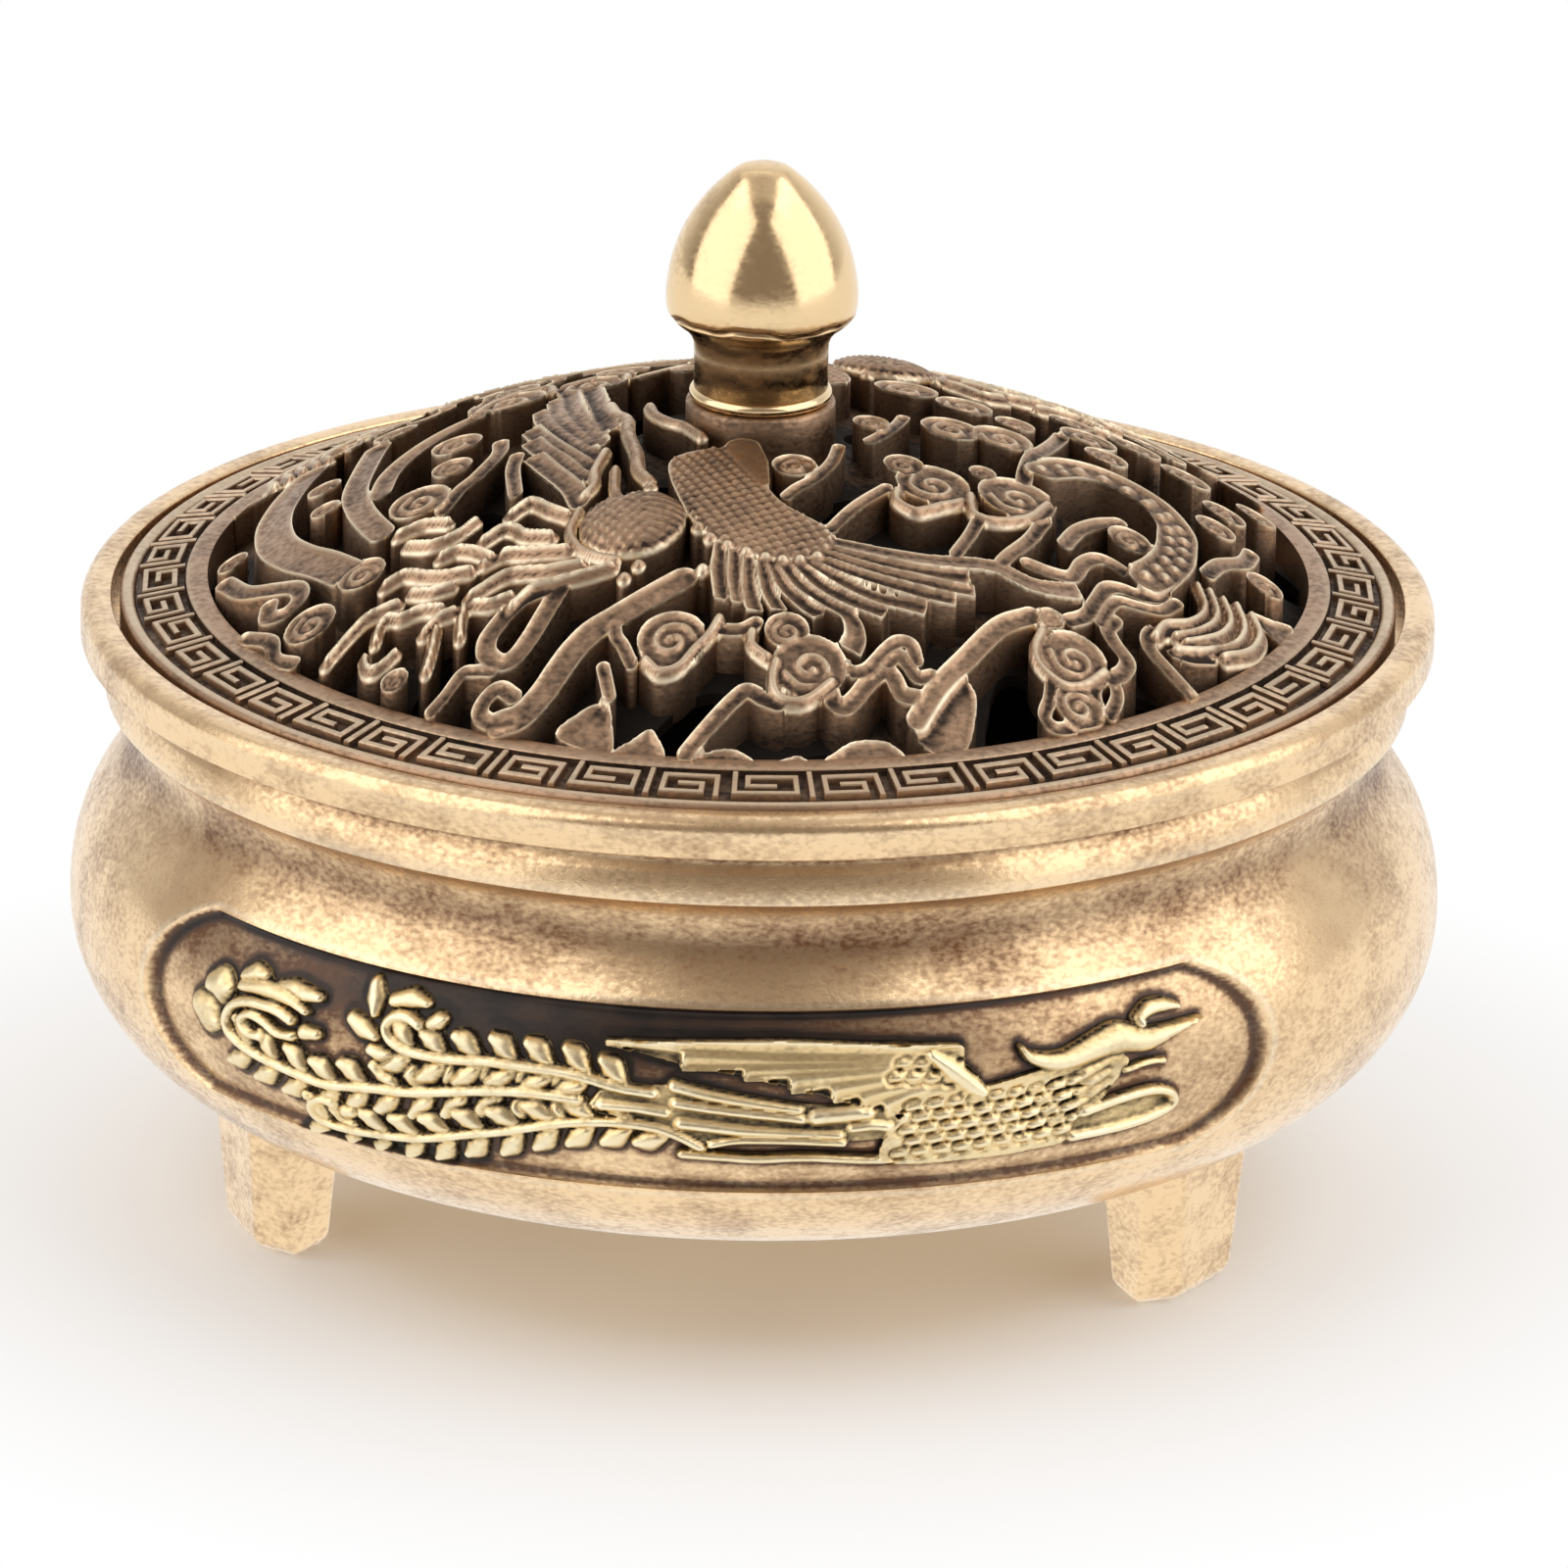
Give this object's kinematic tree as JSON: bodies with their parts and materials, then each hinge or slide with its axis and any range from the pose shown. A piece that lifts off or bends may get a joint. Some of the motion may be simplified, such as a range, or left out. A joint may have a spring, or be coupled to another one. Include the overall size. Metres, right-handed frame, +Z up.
{
  "type": "incense burner",
  "caption": "Cast brass incense burner: round footed bowl with sunk relief panels, pierced domed lid with a bud finial, and a loose pin stand on a heat pad inside.",
  "frame": {"origin": "on the table, under the bowl's axis, at the level of the foot soles", "axes": "+Z up along the bowl's axis, -Y towards the picture panel that faces the viewer, +X to the viewer's right"},
  "size_m": [0.081, 0.0808, 0.0633],
  "materials": {
    "brass_bowl": "burnished cast brass with dark patina in the hollows",
    "brass_lid": "dark antique brass with bright rubbed edges",
    "brass_polished": "polished turned brass",
    "brass_stand": "plain satin brass",
    "steel": "plain zinc-plated steel",
    "fibre": "pale matted fireproof fibre"
  },
  "bodies": {
    "base": {"bowl": "brass_bowl", "foot_front_left": "brass_bowl", "foot_front_right": "brass_bowl", "foot_rear": "brass_bowl"},
    "lid": {"lid": "brass_lid", "finial": "brass_polished", "finial_collar": "brass_polished", "finial_washer": "steel", "finial_screw": "steel"},
    "pad": {"heat_pad": "fibre"},
    "stand": {"stand_plate": "brass_stand", "stand_pin": "brass_stand"}
  },
  "joints": [
    {"name": "lid_lift", "type": "slide", "parent": "base", "child": "lid", "axis": [0, 0, 1], "range_m": [0, 0.06]},
    {"name": "pad_lift", "type": "slide", "parent": "base", "child": "pad", "axis": [0, 0, 1], "range_m": [0, 0.006]},
    {"name": "stand_lift", "type": "slide", "parent": "pad", "child": "stand", "axis": [0, 0, 1], "range_m": [0, 0.01]}
  ]
}
